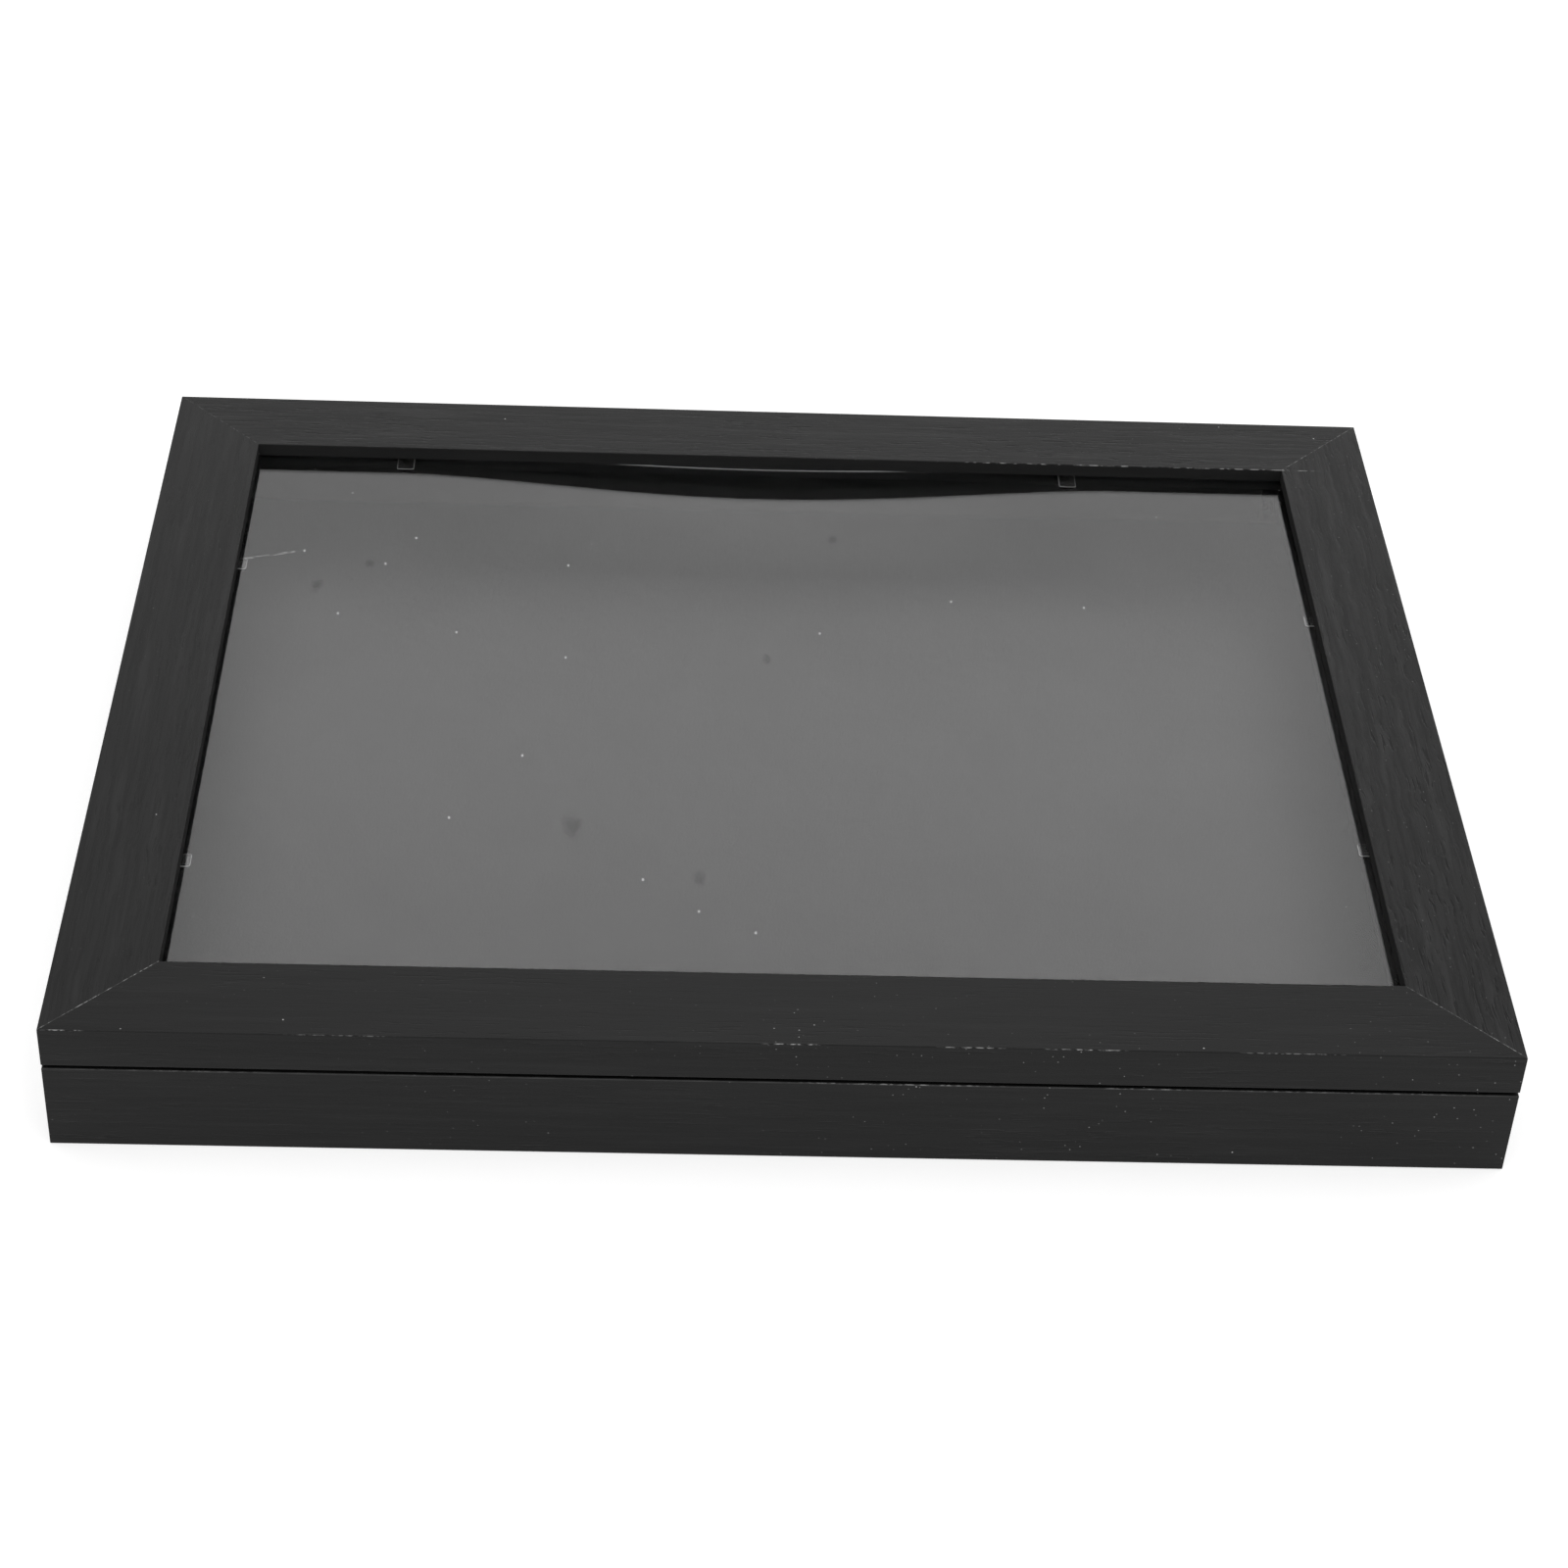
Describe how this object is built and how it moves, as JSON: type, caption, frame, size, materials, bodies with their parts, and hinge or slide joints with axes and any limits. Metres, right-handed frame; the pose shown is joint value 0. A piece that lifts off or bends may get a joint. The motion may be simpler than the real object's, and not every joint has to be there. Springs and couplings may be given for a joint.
{
  "type": "jersey display case",
  "caption": "Shallow black wooden wall case with a hinged, glazed door for showing a folded jersey, with a lift-out hanging rod and ring hangers on its back.",
  "frame": {"origin": "centre of the back plane of the box, which lies on its back", "axes": "+Z out of the glazed front, +X along the long side to the hung top, hinges on the +Y side"},
  "size_m": [0.5, 0.4042, 0.052],
  "materials": {
    "black_wood": "black stain with open grain, satin",
    "clear_pane": "clear sheet, polished",
    "clear_clip": "clear, moulded",
    "bare_board": "bare fibreboard",
    "black_felt": "black felt, matte",
    "nail_steel": "bare steel",
    "zinc_screw": "zinc plated",
    "black_screw": "black oxide",
    "hinge_steel": "nickel plated",
    "magnet_nickel": "bright nickel",
    "strike_steel": "zinc plated",
    "clear_rubber": "clear, soft",
    "rod_black": "black, satin",
    "cup_black": "black, moulded",
    "hanger_steel": "zinc plated"
  },
  "bodies": {
    "case": {"case_wall_front": "black_wood", "case_wall_right": "black_wood", "case_wall_back": "black_wood", "case_wall_left": "black_wood", "back_board": "bare_board", "felt_lining": "black_felt", "case_corner_nails": "nail_steel", "case_hinge_screws": "zinc_screw", "back_board_screws": "black_screw", "rod_cup_screws": "black_screw", "case_hinge_leaf_left": "hinge_steel", "case_hinge_leaf_right": "hinge_steel", "hinge_pin_left": "hinge_steel", "hinge_pin_right": "hinge_steel", "catch_magnet_left": "magnet_nickel", "catch_magnet_right": "magnet_nickel", "bumper_left": "clear_rubber", "bumper_right": "clear_rubber", "rod_cup_front": "cup_black", "rod_cup_back": "cup_black", "hanger_rivets": "hanger_steel", "hanger_strap_left": "hanger_steel", "hanger_strap_right": "hanger_steel"},
    "door": {"door_rail_front": "black_wood", "door_stile_right": "black_wood", "door_rail_back": "black_wood", "door_stile_left": "black_wood", "door_corner_nails": "nail_steel", "pane": "clear_pane", "pane_clip_screws": "black_screw", "door_hinge_screws": "zinc_screw", "pane_clip_1": "clear_clip", "pane_clip_2": "clear_clip", "pane_clip_3": "clear_clip", "pane_clip_4": "clear_clip", "pane_clip_5": "clear_clip", "pane_clip_6": "clear_clip", "pane_clip_7": "clear_clip", "pane_clip_8": "clear_clip", "door_hinge_leaf_left": "hinge_steel", "door_hinge_leaf_right": "hinge_steel", "strike_disc_left": "strike_steel", "strike_disc_right": "strike_steel"},
    "rod": {"hanging_rod": "rod_black"},
    "ring_left": {"hanger_ring_left": "hanger_steel"},
    "ring_right": {"hanger_ring_right": "hanger_steel"}
  },
  "joints": [
    {"name": "door_hinge", "type": "hinge", "parent": "case", "child": "door", "pos_m": [0, 0.2022, 0.0353], "axis": [-1, 0, 0], "range_deg": [0, 180]},
    {"name": "rod_lift", "type": "slide", "parent": "case", "child": "rod", "axis": [0, 0, 1], "range_m": [0, 0.008]},
    {"name": "ring_left_swing", "type": "hinge", "parent": "case", "child": "ring_left", "pos_m": [0.17, -0.12, 0.00395], "axis": [0, 1, 0], "range_deg": [0, 120]},
    {"name": "ring_right_swing", "type": "hinge", "parent": "case", "child": "ring_right", "pos_m": [0.17, 0.12, 0.00395], "axis": [0, 1, 0], "range_deg": [0, 120]}
  ]
}
